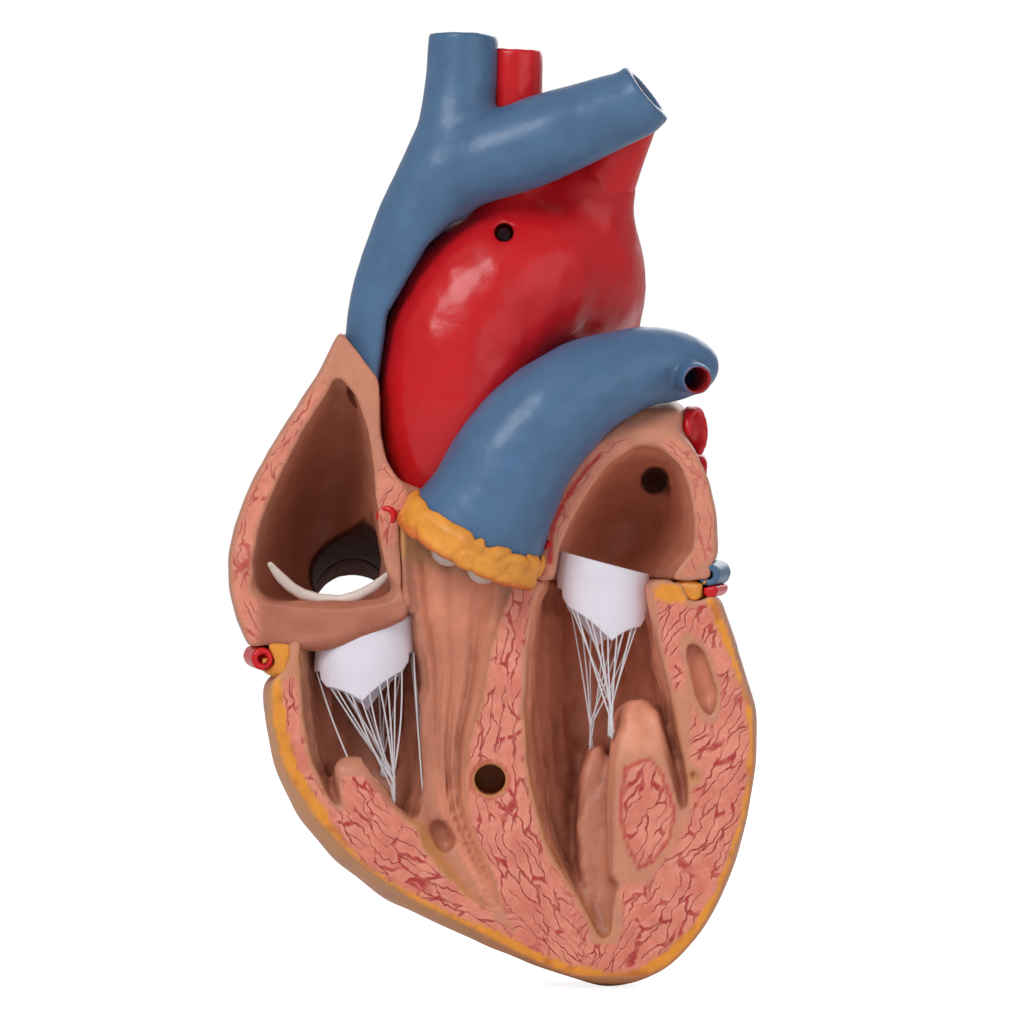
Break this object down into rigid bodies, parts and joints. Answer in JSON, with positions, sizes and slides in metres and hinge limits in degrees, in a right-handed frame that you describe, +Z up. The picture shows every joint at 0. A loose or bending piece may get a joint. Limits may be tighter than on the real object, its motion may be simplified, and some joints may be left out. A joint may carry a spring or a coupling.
{
  "type": "human heart anatomy model",
  "caption": "Rear section of a life-size human heart teaching model, opened through all chambers, with foil valve cuffs on threads, coloured great vessels and peg holes for the front section",
  "frame": {"origin": "centre of the stand socket's mouth on the underside of the ventricles", "axes": "+Z up towards the great vessels, -Y out of the flat mating face towards the viewer, +X towards the heart's left side, which is the viewer's right"},
  "size_m": [0.1065, 0.0693, 0.1918],
  "materials": {
    "muscle": "satin",
    "chamber_wall": "satin",
    "artery_red": "gloss",
    "vein_blue": "satin",
    "fat_yellow": "satin",
    "valve_white": "satin",
    "foil_white": "satin",
    "thread_white": "matte"
  },
  "bodies": {
    "heart": {"ventricle_base": "muscle", "ventricle_septum": "muscle", "right_ventricle_wall": "muscle", "left_ventricle_wall": "muscle", "ventricle_apex": "muscle", "right_atrium_casting": "chamber_wall", "left_atrium_casting": "chamber_wall", "aorta": "artery_red", "brachiocephalic_artery": "artery_red", "left_carotid_artery": "artery_red", "left_subclavian_artery": "artery_red", "upper_great_vein": "vein_blue", "lower_great_vein": "vein_blue", "pulmonary_trunk": "vein_blue", "right_pulmonary_artery": "vein_blue", "pulmonary_collar": "fat_yellow", "pulmonary_cusps": "valve_white", "left_upper_lung_vein": "artery_red", "left_lower_lung_vein": "artery_red", "right_upper_lung_vein": "artery_red", "right_lower_lung_vein": "artery_red", "right_coronary_artery": "artery_red", "right_coronary_origin": "artery_red", "left_coronary_origin": "artery_red", "circumflex_artery": "artery_red", "coronary_sinus": "vein_blue", "rear_descending_artery": "artery_red", "middle_cardiac_vein": "vein_blue", "right_groove_fat": "fat_yellow", "left_groove_fat": "fat_yellow", "lower_vein_valve": "valve_white", "tricuspid_cuff": "foil_white", "mitral_cuff": "foil_white", "tricuspid_side_threads": "thread_white"},
    "tricuspid_front": {"tricuspid_front_flap": "foil_white", "tricuspid_front_threads": "thread_white"},
    "tricuspid_rear": {"tricuspid_rear_flap": "foil_white", "tricuspid_rear_threads": "thread_white"},
    "mitral_front": {"mitral_front_flap": "foil_white", "mitral_front_threads": "thread_white"},
    "mitral_rear": {"mitral_rear_flap": "foil_white", "mitral_rear_threads": "thread_white"}
  },
  "joints": [
    {"name": "tricuspid_front_bend", "type": "hinge", "parent": "heart", "child": "tricuspid_front", "pos_m": [-0.0392, -0.0189, 0.0622], "axis": [0.9806, 0, 0.1961], "range_deg": [-8, 8], "stiffness_Nm_per_rad": 0.0002, "deforming": ["tricuspid_front_threads"]},
    {"name": "tricuspid_rear_bend", "type": "hinge", "parent": "heart", "child": "tricuspid_rear", "pos_m": [-0.0392, -0.0084, 0.0622], "axis": [0.9806, 0, 0.1961], "range_deg": [-8, 8], "stiffness_Nm_per_rad": 0.0002, "deforming": ["tricuspid_rear_threads"]},
    {"name": "mitral_front_bend", "type": "hinge", "parent": "heart", "child": "mitral_front", "pos_m": [0.0088, -0.0188, 0.0746], "axis": [0.9676, 0, -0.2525], "range_deg": [-8, 8], "stiffness_Nm_per_rad": 0.0002, "deforming": ["mitral_front_threads"]},
    {"name": "mitral_rear_bend", "type": "hinge", "parent": "heart", "child": "mitral_rear", "pos_m": [0.0088, -0.0077, 0.0746], "axis": [0.9676, 0, -0.2525], "range_deg": [-8, 8], "stiffness_Nm_per_rad": 0.0002, "deforming": ["mitral_rear_threads"]}
  ]
}
